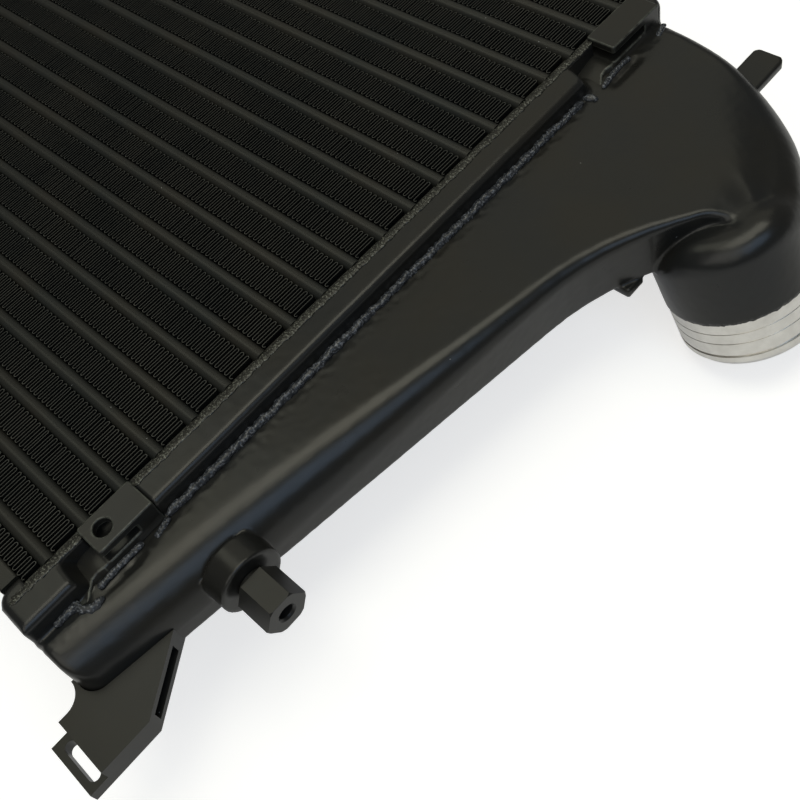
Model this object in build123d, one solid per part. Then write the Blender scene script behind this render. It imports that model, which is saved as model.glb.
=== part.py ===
from build123d import *
import os
from math import atan2, cos, radians, sin, tan

# A front-mount charge-air cooler, in millimetres.
#
# While it is built, X runs along the tubes with 0 at mid-length, Y runs along the end tanks
# with 0 at mid-height of the stack of tubes, and Z = 0 is the plane of the core's front face.
# Each end tank is built in its own frame, where x = 0 is the end of the visible core and
# x grows outwards, then moved to the right-hand end and mirrored to the left-hand end.
# On export everything moves so that the origin is midway between the two front lug holes,
# on the lugs' top faces.

# ---- core ------------------------------------------------------------------------------
CORE_LENGTH = 615.0        # visible core, between the closing bars
CORE_DEPTH = 50.0
TUBE_COUNT = 20
TUBE_PITCH = 19.2
TUBE_HEIGHT = 6.5
TUBE_WALL = 0.6
NOSE_DEPTH = 6.0           # solid round nose at the front and the back of each tube
TURBULATOR_SHEET = 0.4
TURBULATOR_LEGS = 7
FIN_SHEET = 0.6
FIN_RECESS = 1.5           # the fins stop this far behind the tubes' noses
FIN_LEGS = 46              # the ribbon is drawn with few wide folds; real folds are 3.2 apart
LOWER_FIN_HEIGHT = 8.3     # the outermost two ribbons are lower than the others
UPPER_FIN_HEIGHT = 5.8
LOWER_PLATE = 8.3
UPPER_PLATE = 5.7
SIDE_PLATE_EDGE = 1.0
BRAZE_GAP = 0.05           # film between two pieces brazed together

CLOSING_BAR = 2.0          # bars that close both ends of each fin row
BAR_RECESS = 3.0           # they stop this far behind the core's front and back

# ---- end tanks: flange -----------------------------------------------------------------
FLANGE_OVERHANG = 4.1      # beyond the lower side plate; flush with the upper one
FLANGE_WIDTH = 16.5        # from the closing bars outwards
FLANGE_CORNER = 8.0        # in plan, at the outlet end's outer side
CHEEK_REACH = 2.7          # at its narrow end the flange laps over the core's end
CHEEK_CORNER = 6.5         # in plan, at the narrow end's inner side
NARROW_FLANGE_CORNER = 4.0
FLANGE_EDGE = 3.0          # rounding along the outer front and back edges
FLANGE_MOUTH = 5.0         # the mouth's rim in from the flange's front and back
MOUTH_DEPTH = 3.0
MOUTH_GUARD = 2.0          # wall kept between the mouth and the lugs' notches

# ---- end tanks: body -------------------------------------------------------------------
TANK_WALL = 3.5
BODY_DROP = 10.0           # body's front face below the core's front face
BODY_INNER = 12.0          # where the body starts, inside the flange
NARROW_WIDTH = 42.0        # outer wall at the narrow end, from the core's end
NARROW_CORNER = 8.0
WALL_TAPER = 7.8           # degrees, the outer wall's lean away from the core
ELBOW_REACH = 167.0        # from where the wall starts to bend, to the tank's outlet end
THROAT_RADIUS = 135.0
THROAT_TURN = 27.4         # degrees
THROAT_RUN = 9.0
HEEL_RADIUS = 18.0
NOSE_RADIUS = 12.3
BODY_END_INSET = 2.5       # body's outlet end, inside the flange's end
BODY_EDGE = 9.0            # rounding along the body's front
BODY_BACK_EDGE = 1.5

# ---- outlet ----------------------------------------------------------------------------
OUTLET_RADIUS = 35.0
OUTLET_WALL = 3.5
OUTLET_TILT = 21.8         # degrees, the neck leans outwards
OUTLET_X = 114.6           # the neck's axis, where the casting ends and the spigot starts
OUTLET_FROM_END = 83.4     # the same point, back from the flange's outlet end
OUTLET_DEPTH = 58.8        # the same point, below the core's front face
CROWN_HEIGHT = 26.0        # top of the elbow's crown above that point, along the axis
CROWN_ROUND = 13.0
NECK_TOP = 20.0            # inside the body's outline the neck goes on to here
SPIGOT_RADIUS = 34.5
SPIGOT_LENGTH = 26.5
SPIGOT_CHAMFER = 2.0
SPIGOT_CHAMFER_LENGTH = 3.0
GROOVE_PLACES = [(5.9, 0.5, 0.35), (11.8, 0.5, 0.35), (19.2, 1.4, 1.2)]  # from, width, depth

# ---- front lugs ------------------------------------------------------------------------
LUG_INNER = 2.2            # from the core's end
LUG_WIDTH = 16.0
LUG_RISE = 1.5             # top face above the core's front face
LUG_PLATE = 4.0
CLIP_GAP = 5.0             # slot for a clip-on nut, under the plate
LUG_BASE_REACH = 24.0      # the foot spreads out to here over the tank's body
RAMP_LENGTH = 15.0
RAMP_LIP = 0.6             # thickness of the ramp's lowest part
LUG_SKIRT = 1.2
LUG_CORNER = 1.5
LUG_HOLE = 8.0
LUG_HOLE_INSET = 7.7       # from the plate's free end
# free end's distance from the flange's narrow end, plate length, clip slot length
NARROW_LUG = (38.7, 27.0, 17.0)
OUTLET_LUG = (360.8, 36.0, 25.0)
RAMP_INNER = 6.5           # beside the ramp the flange keeps a rim this wide
NOTCH_LEAD = 9.0           # the notch starts this far before the ramp's lowest part

# ---- side standoffs --------------------------------------------------------------------
STANDOFF_FROM_END = 70.9   # from the flange's narrow end
BOSS_RADIUS = 15.0
BOSS_FACE = 60.0           # from the core's end
BOSS_DEPTH = 14.0
BOSS_EDGE = 1.0
STANDOFF_HEX = 18.0        # across flats
STANDOFF_LENGTH = 20.0
STANDOFF_NECK = 2.5
STANDOFF_NECK_RADIUS = 7.0
STANDOFF_PIN_RADIUS = 5.0
STANDOFF_PIN_LENGTH = 10.0
TAPPED_RADIUS = 3.4
TAPPED_DEPTH = 15.0
COUNTERSINK = 1.0
END_CHAMFER = 0.8

# ---- slotted feet ----------------------------------------------------------------------
FOOT_THICKNESS = 12.0
TONGUE_THICKNESS = 6.0
FOOT_INNER = 39.0
FOOT_OUTER = 67.0
FOOT_REACH = 13.9          # block's free end beyond the flange's narrow end
FOOT_SHOULDER = 23.3       # where the slanted side starts, up from the block's free end
FOOT_SLANT = 34.5          # degrees, the slanted side's lean from Y
FOOT_ROOT = 45.0           # the block goes this far up, into the shape of the tank
FOOT_COVE = 8.5            # hollow round where the inner side runs into the tank
COVE_HEIGHT = 4.0          # it starts this far up from the block's free end
TONGUE_INNER = 41.2
TONGUE_REACH = 8.6         # the tongue goes on beyond the block
SLOT_LENGTH = 20.0
SLOT_WIDTH = 5.2
SLOT_CENTRE = 54.5         # from the core's end
SLOT_FROM_END = 5.6        # slot's centre line from the tongue's end
POCKET_HEIGHT = 6.0
POCKET_DEPTH = 3.5
POCKET_LENGTH = 26.0
POCKET_MARGIN = 3.5

# ---- cast ears on the tank -------------------------------------------------------------
TAB_INNER = 60.3
TAB_WIDTH = 16.2
TAB_REACH = 13.8           # beyond the flange's outlet end
TAB_THICKNESS = 5.0
TAB_CORNER = 4.0
TAB_ROOT = 20.0            # how far it goes back into the shape of the tank
EAR_FROM_END = 126.0       # centre, back from the flange's outlet end
EAR_WIDTH = 11.0
EAR_LENGTH = 16.0
EAR_OUTER = 89.5
EAR_THICKNESS = 4.0
EAR_OVERLAP = 8.0

# ---- worked out from the above ---------------------------------------------------------
ROW_HEIGHT = TUBE_PITCH - TUBE_HEIGHT
TUBE_STACK = (TUBE_COUNT - 1) * TUBE_PITCH
LOWER_ROW_END = -(TUBE_STACK + TUBE_HEIGHT) / 2 - LOWER_FIN_HEIGHT
UPPER_ROW_END = (TUBE_STACK + TUBE_HEIGHT) / 2 + UPPER_FIN_HEIGHT
NARROW_END = LOWER_ROW_END - LOWER_PLATE - FLANGE_OVERHANG
OUTLET_END = UPPER_ROW_END + UPPER_PLATE
HALF_LENGTH = CORE_LENGTH / 2
MID_DEPTH = -CORE_DEPTH / 2
FLANGE_OUTER = CLOSING_BAR + FLANGE_WIDTH
BODY_BACK = CORE_DEPTH - BODY_DROP
OUTLET_Y = OUTLET_END - OUTLET_FROM_END
LUG_CENTRE = LUG_INNER + LUG_WIDTH / 2
LUG_HOLE_Y = NARROW_END + NARROW_LUG[0] + LUG_HOLE_INSET
ORIGIN = Vector(0, LUG_HOLE_Y, LUG_RISE)

written = []


def put(name, shape):
    """Move a piece into the part's frame and write it."""
    os.makedirs("parts", exist_ok=True)
    export_step(Pos(-ORIGIN) * shape, f"parts/{name}.step")
    written.append(name)


def put_both_ends(name, shape):
    """Write a piece built in the tank's frame for the right-hand end, and its mirror image."""
    right = Pos(HALF_LENGTH, 0, 0) * shape
    put(f"{name}_right", right)
    put(f"{name}_left", mirror(right, about=Plane.YZ))


# ---- core ------------------------------------------------------------------------------
def zigzag(length, height, legs, sheet):
    """Section of a folded ribbon: x along the ribbon, y across it, both centred on 0."""
    leg_run = length / legs
    lean = atan2(height, leg_run)
    thickness = sheet / cos(lean)
    swing = (height - thickness) / 2
    folds = [(-length / 2 + i * leg_run, swing if i % 2 else -swing) for i in range(legs + 1)]
    front = [(x, y + thickness / 2) for x, y in folds]
    back = [(x, y - thickness / 2) for x, y in reversed(folds)]
    return make_face(Polyline(*front, *back, close=True))


def charge_tube():
    """Flat tube with round solid noses, open at both ends, as long as the core."""
    cavity_height = TUBE_HEIGHT - 2 * TUBE_WALL
    cavity_depth = CORE_DEPTH - 2 * NOSE_DEPTH
    section = SlotOverall(CORE_DEPTH, TUBE_HEIGHT) - Rectangle(cavity_depth, cavity_height)
    length = CORE_LENGTH + 2 * CLOSING_BAR
    # the section's long side lies along Z, its short side along Y
    across = Plane(origin=(-length / 2, 0, MID_DEPTH), x_dir=(0, 0, 1), z_dir=(1, 0, 0))
    return extrude(across * section, amount=length)


def turbulator():
    """Folded sheet inside a tube, its folds running along the tube."""
    cavity_height = TUBE_HEIGHT - 2 * (TUBE_WALL + BRAZE_GAP)
    cavity_depth = CORE_DEPTH - 2 * (NOSE_DEPTH + BRAZE_GAP)
    section = zigzag(cavity_depth, cavity_height, TURBULATOR_LEGS, TURBULATOR_SHEET)
    across = Plane(origin=(-HALF_LENGTH, 0, MID_DEPTH), x_dir=(0, 0, 1), z_dir=(1, 0, 0))
    return extrude(across * section, amount=CORE_LENGTH)


def air_fin(height):
    """Folded ribbon between two tubes, its folds running through the core from front to back."""
    section = zigzag(CORE_LENGTH - 2 * BRAZE_GAP, height - 2 * BRAZE_GAP, FIN_LEGS, FIN_SHEET)
    depth = CORE_DEPTH - 2 * FIN_RECESS
    return extrude(Pos(0, 0, -FIN_RECESS - depth) * section, amount=depth)


def write_core():
    tube = charge_tube()
    folded = turbulator()
    tube_places = [i * TUBE_PITCH - TUBE_STACK / 2 for i in range(TUBE_COUNT)]
    for i, y in enumerate(tube_places, start=1):
        put(f"charge_tube_{i:02d}", Pos(0, y, 0) * tube)
    put("turbulators", Compound([Pos(0, y, 0) * folded for y in tube_places]))

    row = air_fin(ROW_HEIGHT)
    lower_row_y = LOWER_ROW_END + LOWER_FIN_HEIGHT / 2
    upper_row_y = UPPER_ROW_END - UPPER_FIN_HEIGHT / 2
    put("air_fin_01", Pos(0, lower_row_y, 0) * air_fin(LOWER_FIN_HEIGHT))
    for i, y in enumerate(tube_places[:-1], start=2):
        put(f"air_fin_{i:02d}", Pos(0, y + TUBE_PITCH / 2, 0) * row)
    put(f"air_fin_{TUBE_COUNT + 1:02d}", Pos(0, upper_row_y, 0) * air_fin(UPPER_FIN_HEIGHT))

    lower_plate = side_plate(CORE_LENGTH - 2 * (CHEEK_REACH + BRAZE_GAP), LOWER_PLATE)
    upper_plate = side_plate(CORE_LENGTH + 2 * CLOSING_BAR, UPPER_PLATE)
    put("side_plate_lower", Pos(0, LOWER_ROW_END - LOWER_PLATE / 2, MID_DEPTH) * lower_plate)
    put("side_plate_upper", Pos(0, UPPER_ROW_END + UPPER_PLATE / 2, MID_DEPTH) * upper_plate)

    bars = [closing_bar(ROW_HEIGHT, y + TUBE_PITCH / 2) for y in tube_places[:-1]]
    bars.append(closing_bar(LOWER_FIN_HEIGHT, lower_row_y))
    bars.append(closing_bar(UPPER_FIN_HEIGHT, upper_row_y))
    put_both_ends("closing_bars", Compound(bars))


def side_plate(length, height):
    """Bar along the core's long side, with round edges."""
    plate = Box(length, height, CORE_DEPTH)
    return fillet(plate.edges().filter_by(Axis.X), SIDE_PLATE_EDGE)


def closing_bar(height, y):
    """Bar that closes one end of a fin row, in the tank's frame."""
    bar = Box(CLOSING_BAR, height - 2 * BRAZE_GAP, CORE_DEPTH - 2 * BAR_RECESS)
    return Pos(CLOSING_BAR / 2, y, MID_DEPTH) * bar


# ---- end tanks -------------------------------------------------------------------------
def heading(angle):
    """Unit vector that leans outwards from +Y by an angle in degrees."""
    return Vector(sin(radians(angle)), cos(radians(angle)))


def body_outline(inset=0.0):
    """Plan of the tank's body: tapered wall, throat, elbow's nose and rounded outlet end."""
    slope = tan(radians(WALL_TAPER))
    turned = WALL_TAPER + THROAT_TURN
    inwards = Vector(-cos(radians(WALL_TAPER)), sin(radians(WALL_TAPER)))
    bend_y = OUTLET_END - ELBOW_REACH
    bend = Vector(NARROW_WIDTH + (bend_y - NARROW_END) * slope, bend_y) + inwards * inset
    start_y = NARROW_END + inset
    start = Vector(bend.X - (bend.Y - start_y) * slope, start_y)
    end = Vector(BODY_INNER, OUTLET_END - BODY_END_INSET - inset)
    with BuildSketch() as plan:
        with BuildLine():
            Line((BODY_INNER, start_y), start)
            Line(start, bend)
            throat = JernArc(bend, heading(WALL_TAPER), THROAT_RADIUS + inset, -THROAT_TURN)
            run = Line(throat @ 1, throat @ 1 + heading(turned) * THROAT_RUN)
            heel = JernArc(run @ 1, heading(turned), HEEL_RADIUS + inset, turned - 90)
            nose = JernArc(heel @ 1, (1, 0), NOSE_RADIUS - inset, 90)
            tip = nose @ 1
            EllipticalCenterArc(
                (BODY_INNER, tip.Y), tip.X - BODY_INNER, end.Y - tip.Y, 0, arc_size=90
            )
            Line(end, (BODY_INNER, start_y))
        make_face()
    outline = plan.sketch
    corner = outline.vertices().sort_by_distance(start)[0]
    return fillet(corner, NARROW_CORNER - inset)


def outlet_plane():
    """Where the casting ends and the spigot starts: z points down the neck, out of the tank."""
    lean = radians(OUTLET_TILT)
    return Plane(
        origin=(OUTLET_X, OUTLET_Y, -OUTLET_DEPTH),
        x_dir=(0, 1, 0),
        z_dir=(sin(lean), 0, -cos(lean)),
    )


def slab(outline, front, back):
    """Extrude an outline between two depths below the core's front face."""
    return extrude(Pos(0, 0, -back) * outline, amount=back - front)


def neck(inset):
    """Round neck up into the body; outside the body's outline a crown with a round edge closes it."""
    top = (Align.CENTER, Align.CENTER, Align.MAX)
    radius = OUTLET_RADIUS - inset
    crown = Cylinder(radius, CROWN_HEIGHT - inset, align=top)
    crown = fillet(crown.edges().group_by(Axis.Z)[0], CROWN_ROUND - inset)
    shaft = outlet_plane() * Cylinder(radius, 2 * OUTLET_DEPTH, align=top)
    shaft &= slab(body_outline(inset), NECK_TOP, 2 * OUTLET_DEPTH)
    return shaft + outlet_plane() * crown


def outer_rim(block, z, inner):
    """Edges of a block in the plane z, except the straight one at its inner side."""
    rim = block.edges().filter_by_position(Axis.Z, z - 0.01, z + 0.01)
    return rim.filter_by(lambda edge: (edge @ 0.5).X > inner + 0.01)


def tank_body():
    """Outer form of the tank's body and elbow."""
    block = slab(body_outline(), BODY_DROP, BODY_BACK)
    block = fillet(outer_rim(block, -BODY_DROP, BODY_INNER), BODY_EDGE)
    block = fillet(outer_rim(block, -BODY_BACK, BODY_INNER), BODY_BACK_EDGE)
    return block + neck(0)


def flange_plan():
    """Plan of the collar, with the cheek that laps over the core's corner."""
    cheek_end = LOWER_ROW_END - BRAZE_GAP
    outline = Polyline(
        (-CHEEK_REACH, NARROW_END),
        (FLANGE_OUTER, NARROW_END),
        (FLANGE_OUTER, OUTLET_END),
        (CLOSING_BAR, OUTLET_END),
        (CLOSING_BAR, cheek_end),
        (-CHEEK_REACH, cheek_end),
        close=True,
    )
    plan = make_face(outline)
    corners = (
        ((FLANGE_OUTER, OUTLET_END), FLANGE_CORNER),
        ((FLANGE_OUTER, NARROW_END), NARROW_FLANGE_CORNER),
        ((-CHEEK_REACH, NARROW_END), CHEEK_CORNER),
    )
    for place, radius in corners:
        corner = plan.vertices().sort_by_distance((*place, 0))[0]
        plan = fillet(corner, radius)
    return plan


def tank_flange():
    """Solid collar along the core's end, with round outer corners and edges."""
    collar = slab(flange_plan(), 0, CORE_DEPTH)
    rims = outer_rim(collar, 0, CLOSING_BAR) + outer_rim(collar, -CORE_DEPTH, CLOSING_BAR)
    return fillet(rims, FLANGE_EDGE)


def lug_ends(lug):
    """Y of a lug's free end and of its closed end."""
    free_end = NARROW_END + lug[0]
    return free_end, free_end + lug[1]


def box_between(x0, x1, y0, y1, z0, z1):
    corner = Vector(min(x0, x1), min(y0, y1), min(z0, z1))
    return Pos(corner) * Box(abs(x1 - x0), abs(y1 - y0), abs(z1 - z0), align=Align.MIN)


def lug_notch(lug, margin=0.0):
    """Space cut out of the flange's front for a lug, its ramp and the weld before it."""
    free_end, closed_end = lug_ends(lug)
    start = free_end - RAMP_LENGTH - NOTCH_LEAD
    floor = -BODY_DROP - margin
    under_plate = box_between(
        CLOSING_BAR - 1, FLANGE_OUTER + 1, free_end - margin, closed_end + margin, 1, floor
    )
    before_it = box_between(
        RAMP_INNER - margin, FLANGE_OUTER + 1, start - margin, closed_end, 1, floor
    )
    return under_plate + before_it


def tank_cavity():
    """Air space: the mouth on the core, the tapered duct and the elbow."""
    front = BODY_DROP + TANK_WALL
    back = BODY_BACK - TANK_WALL
    duct = slab(body_outline(TANK_WALL), front, back)
    root = box_between(
        CLOSING_BAR, BODY_INNER + 2 * TANK_WALL,
        NARROW_END + 2 * TANK_WALL, OUTLET_END - 2 * TANK_WALL, -front, -back,
    )
    mouth = box_between(
        CLOSING_BAR, CLOSING_BAR + MOUTH_DEPTH, LOWER_ROW_END, UPPER_ROW_END,
        -FLANGE_MOUTH, FLANGE_MOUTH - CORE_DEPTH,
    )
    for lug in (NARROW_LUG, OUTLET_LUG):
        mouth -= lug_notch(lug, MOUTH_GUARD)
    return duct + root + mouth + neck(OUTLET_WALL)


def standoff_axis(x):
    """Plane on the side standoff's axis, z pointing outwards."""
    y = NARROW_END + STANDOFF_FROM_END
    return Plane(origin=(x, y, MID_DEPTH), x_dir=(0, 1, 0), z_dir=(1, 0, 0))


def rod(radius, length):
    """Cylinder from 0 to its length along Z."""
    return Cylinder(radius, length, align=(Align.CENTER, Align.CENTER, Align.MIN))


def tank_extras():
    """Boss for the standoff, tab at the outlet end and ear under the elbow."""
    boss = rod(BOSS_RADIUS, BOSS_DEPTH)
    boss = fillet(boss.edges().group_by(Axis.Z)[-1], BOSS_EDGE)
    boss = standoff_axis(BOSS_FACE - BOSS_DEPTH) * boss

    tab = box_between(
        TAB_INNER, TAB_INNER + TAB_WIDTH, OUTLET_END - TAB_ROOT, OUTLET_END + TAB_REACH,
        MID_DEPTH + TAB_THICKNESS / 2, MID_DEPTH - TAB_THICKNESS / 2,
    )
    tab = fillet(tab.edges().filter_by(Axis.Z).group_by(Axis.Y)[-1], TAB_CORNER)

    ear_y = OUTLET_END - EAR_FROM_END
    ear = box_between(
        EAR_OUTER - EAR_LENGTH, EAR_OUTER, ear_y - EAR_WIDTH / 2, ear_y + EAR_WIDTH / 2,
        -BODY_BACK + EAR_OVERLAP, -BODY_BACK - EAR_THICKNESS,
    )
    ear = fillet(ear.edges().filter_by(Axis.Z).group_by(Axis.X)[-1], TAB_CORNER)
    return boss + tab + ear


def end_tank():
    """Hollow casting with its mouth, notches for the lugs and the standoff's socket."""
    tank = tank_body() + tank_flange() + tank_extras() - tank_cavity()
    tank -= lug_notch(NARROW_LUG)
    tank -= lug_notch(OUTLET_LUG)
    socket = rod(STANDOFF_PIN_RADIUS + BRAZE_GAP, STANDOFF_PIN_LENGTH + BRAZE_GAP)
    return tank - standoff_axis(BOSS_FACE - STANDOFF_PIN_LENGTH - BRAZE_GAP) * socket


def outlet_spigot():
    """Machined ring that continues the neck, with grooves and a tapered lip for a hose."""
    bore = OUTLET_RADIUS - OUTLET_WALL
    lip_start = SPIGOT_LENGTH - SPIGOT_CHAMFER_LENGTH
    profile = [(bore, 0), (SPIGOT_RADIUS, 0)]
    for start, width, depth in GROOVE_PLACES:
        bottom = SPIGOT_RADIUS - depth
        profile += [(SPIGOT_RADIUS, start), (bottom, start)]
        profile += [(bottom, start + width), (SPIGOT_RADIUS, start + width)]
    profile += [(SPIGOT_RADIUS, lip_start), (SPIGOT_RADIUS - SPIGOT_CHAMFER, SPIGOT_LENGTH)]
    profile += [(bore, SPIGOT_LENGTH)]
    half = Plane.XZ * make_face(Polyline(*profile, close=True))
    return outlet_plane() * revolve(half, axis=Axis.Z)


# ---- pieces welded on the tanks --------------------------------------------------------
def front_lug(lug, hole):
    """C-shaped lug, open towards the narrow end, on a ramp that spreads over the body."""
    free_end, closed_end = lug_ends(lug)
    plate_bottom = LUG_RISE - LUG_PLATE
    base_top = plate_bottom - CLIP_GAP
    outer = LUG_INNER + LUG_WIDTH
    plate = box_between(LUG_INNER, outer, free_end, closed_end, LUG_RISE, -BODY_DROP)
    plate = fillet(plate.edges().filter_by(Axis.Z).group_by(Axis.Y)[0], LUG_CORNER)
    clip_slot = box_between(
        LUG_INNER - 1, outer + 1, free_end - 1, free_end + lug[2], plate_bottom, base_top
    )
    side = [
        (free_end - RAMP_LENGTH, -BODY_DROP),
        (free_end - RAMP_LENGTH, -BODY_DROP + RAMP_LIP),
        (free_end, base_top),
        (free_end + LUG_CORNER, base_top),
        (free_end + LUG_CORNER, -BODY_DROP),
    ]
    along = Plane(origin=(RAMP_INNER, 0, 0), x_dir=(0, 1, 0), z_dir=(1, 0, 0))
    ramp = extrude(along * make_face(Polyline(*side, close=True)), amount=outer - RAMP_INNER)
    skirt = box_between(
        outer - 1, LUG_BASE_REACH, free_end, closed_end - LUG_CORNER,
        -BODY_DROP + LUG_SKIRT, -BODY_DROP,
    )
    whole = plate - clip_slot + ramp + skirt
    if hole:
        drill = Pos(LUG_CENTRE, free_end + LUG_HOLE_INSET, plate_bottom - 1) * rod(
            LUG_HOLE / 2, LUG_PLATE + 2
        )
        whole -= drill
    return whole


def standoff():
    """Hexagonal standoff with a round neck, a pin in the boss and a tapped hole."""
    hexagon = RegularPolygon(STANDOFF_HEX / 2, 6, major_radius=False, rotation=0)
    body = extrude(hexagon, amount=STANDOFF_LENGTH - STANDOFF_NECK)
    corner_radius = STANDOFF_HEX / 2 / cos(radians(30))
    cone_run = 40.0
    turned = Cone(
        corner_radius - END_CHAMFER + cone_run, corner_radius - END_CHAMFER, cone_run,
        align=(Align.CENTER, Align.CENTER, Align.MAX),
    )
    body &= Pos(0, 0, STANDOFF_LENGTH - STANDOFF_NECK) * turned
    body = Pos(0, 0, STANDOFF_NECK) * body
    body += rod(STANDOFF_NECK_RADIUS, STANDOFF_NECK)
    body += Pos(0, 0, -STANDOFF_PIN_LENGTH) * rod(STANDOFF_PIN_RADIUS, STANDOFF_PIN_LENGTH)
    body -= Pos(0, 0, STANDOFF_LENGTH - TAPPED_DEPTH) * rod(TAPPED_RADIUS, TAPPED_DEPTH)
    sink = Cone(
        TAPPED_RADIUS, TAPPED_RADIUS + COUNTERSINK, COUNTERSINK,
        align=(Align.CENTER, Align.CENTER, Align.MAX),
    )
    body -= Pos(0, 0, STANDOFF_LENGTH) * sink
    return standoff_axis(BOSS_FACE) * body


def slotted_foot():
    """Foot that grows out of the tank's narrow end, with a thin slotted tongue."""
    free_y = NARROW_END - FOOT_REACH
    shoulder_y = free_y + FOOT_SHOULDER
    lean = radians(FOOT_SLANT)
    root = Vector(FOOT_OUTER - FOOT_ROOT * sin(lean), shoulder_y + FOOT_ROOT * cos(lean))
    cove = JernArc((FOOT_INNER, free_y + COVE_HEIGHT), (0, 1), FOOT_COVE, 90)
    sides = Polyline(
        cove @ 0,
        (FOOT_INNER, free_y),
        (FOOT_OUTER, free_y),
        (FOOT_OUTER, shoulder_y),
        root,
        (FOOT_INNER - FOOT_COVE, root.Y),
        cove @ 1,
    )
    block = slab(make_face(sides + cove), BODY_BACK - FOOT_THICKNESS, BODY_BACK)

    tongue_end = free_y - TONGUE_REACH
    tongue = box_between(
        TONGUE_INNER, FOOT_OUTER, tongue_end, free_y + 1, TONGUE_THICKNESS - BODY_BACK, -BODY_BACK
    )
    slot = SlotOverall(SLOT_LENGTH, SLOT_WIDTH)
    slot = Pos(SLOT_CENTRE, tongue_end + SLOT_FROM_END) * slot

    pocket = Box(POCKET_DEPTH, POCKET_LENGTH, POCKET_HEIGHT, align=(Align.MAX, Align.MIN, Align.CENTER))
    side = Pos(FOOT_OUTER, shoulder_y, FOOT_THICKNESS / 2 - BODY_BACK) * Rot(0, 0, FOOT_SLANT)
    foot = block + tongue - slab(slot, BODY_BACK - FOOT_THICKNESS - 1, BODY_BACK + 1)
    foot -= side * Pos(0, POCKET_MARGIN, 0) * pocket
    return foot - tank_body()


# ---- write every piece -----------------------------------------------------------------
write_core()
put_both_ends("end_tank", end_tank())
put_both_ends("outlet_spigot", outlet_spigot())
put_both_ends("front_lug_narrow_end", front_lug(NARROW_LUG, hole=True))
put_both_ends("front_lug_outlet_end", front_lug(OUTLET_LUG, hole=False))
put_both_ends("standoff", standoff())
put_both_ends("slotted_foot", slotted_foot())
print(len(written), "pieces written")
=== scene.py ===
import functools
import itertools
import math

import bmesh
import bpy
import numpy as np
from mathutils import Matrix, Vector


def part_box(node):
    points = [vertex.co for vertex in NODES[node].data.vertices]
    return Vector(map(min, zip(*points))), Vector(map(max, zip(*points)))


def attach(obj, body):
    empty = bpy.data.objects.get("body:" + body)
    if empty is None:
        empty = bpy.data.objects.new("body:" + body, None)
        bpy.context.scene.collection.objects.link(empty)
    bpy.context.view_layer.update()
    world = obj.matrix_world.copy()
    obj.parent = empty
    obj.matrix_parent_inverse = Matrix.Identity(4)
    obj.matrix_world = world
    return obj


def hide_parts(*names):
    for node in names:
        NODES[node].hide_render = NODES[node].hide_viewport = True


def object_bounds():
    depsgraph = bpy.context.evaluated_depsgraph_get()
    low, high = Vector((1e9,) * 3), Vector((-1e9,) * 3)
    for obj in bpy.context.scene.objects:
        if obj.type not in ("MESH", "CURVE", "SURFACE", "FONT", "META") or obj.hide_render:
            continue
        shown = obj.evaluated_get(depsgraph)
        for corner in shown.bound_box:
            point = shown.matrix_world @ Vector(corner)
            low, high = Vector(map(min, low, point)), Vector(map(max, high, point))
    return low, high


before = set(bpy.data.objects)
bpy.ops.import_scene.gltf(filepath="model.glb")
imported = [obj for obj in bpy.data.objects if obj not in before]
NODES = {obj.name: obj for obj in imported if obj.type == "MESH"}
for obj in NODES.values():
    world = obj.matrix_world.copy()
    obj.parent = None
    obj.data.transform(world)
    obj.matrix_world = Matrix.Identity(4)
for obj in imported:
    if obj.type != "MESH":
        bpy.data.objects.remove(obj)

CAD_LOW, CAD_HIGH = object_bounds()

# ---- units and frame -------------------------------------------------------------------
# Sizes are in millimetres. A tank point (x, y, z) is x outwards from the core's end,
# y from the middle of the stack of tubes and z up from the core's front face.
MM = 0.001


def node_box(name):
    """Lowest and highest corner of a CAD node, in millimetres in the frame."""
    low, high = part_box(name)
    return np.array(low) / MM, np.array(high) / MM


TUBES = sorted(name for name in NODES if name.startswith("charge_tube"))
BARS_LOW, _ = node_box("closing_bars_right")
TUBE_LOW, TUBE_HIGH = node_box(TUBES[0])
_, LAST_TUBE_HIGH = node_box(TUBES[-1])
LOWER_PLATE_LOW, LOWER_PLATE_HIGH = node_box("side_plate_lower")
_, UPPER_PLATE_HIGH = node_box("side_plate_upper")

CORE_END = BARS_LOW[0]
CORE_FRONT = TUBE_HIGH[2]
CORE_DEPTH = TUBE_HIGH[2] - TUBE_LOW[2]
CORE_MIDDLE_Y = (TUBE_LOW[1] + LAST_TUBE_HIGH[1]) / 2
TANK_SHIFT = np.array([CORE_END, CORE_MIDDLE_Y, CORE_FRONT])
FLANGE_OVERHANG = 4.1
NARROW_END = LOWER_PLATE_LOW[1] - CORE_MIDDLE_Y - FLANGE_OVERHANG
OUTLET_END = UPPER_PLATE_HIGH[1] - CORE_MIDDLE_Y
SIDES = (("right", 1), ("left", -1))

# ---- the end tank's dimensions, in its own frame ---------------------------------------
# A span is the range along an axis over which a value changes smoothly. An edge is the
# radius of a rounded edge, and a blend is the reach of a rounded inner corner.

# The flange is a strip along the core's end, with a cheek over the core's lower corner.
FLANGE_INNER = 2.0
FLANGE_OUTER = 18.5
FLANGE_CORNER = 8.0
FLANGE_EDGE = 3.5
FLANGE_BLEND = 2.5
NARROW_FLANGE_CORNER = 1.2
CHEEK_REACH = 2.7
CHEEK_CORNER = 7.0
CHEEK_OUTER = 8.0
CHEEK_END = LOWER_PLATE_HIGH[1] - CORE_MIDDLE_Y

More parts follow.
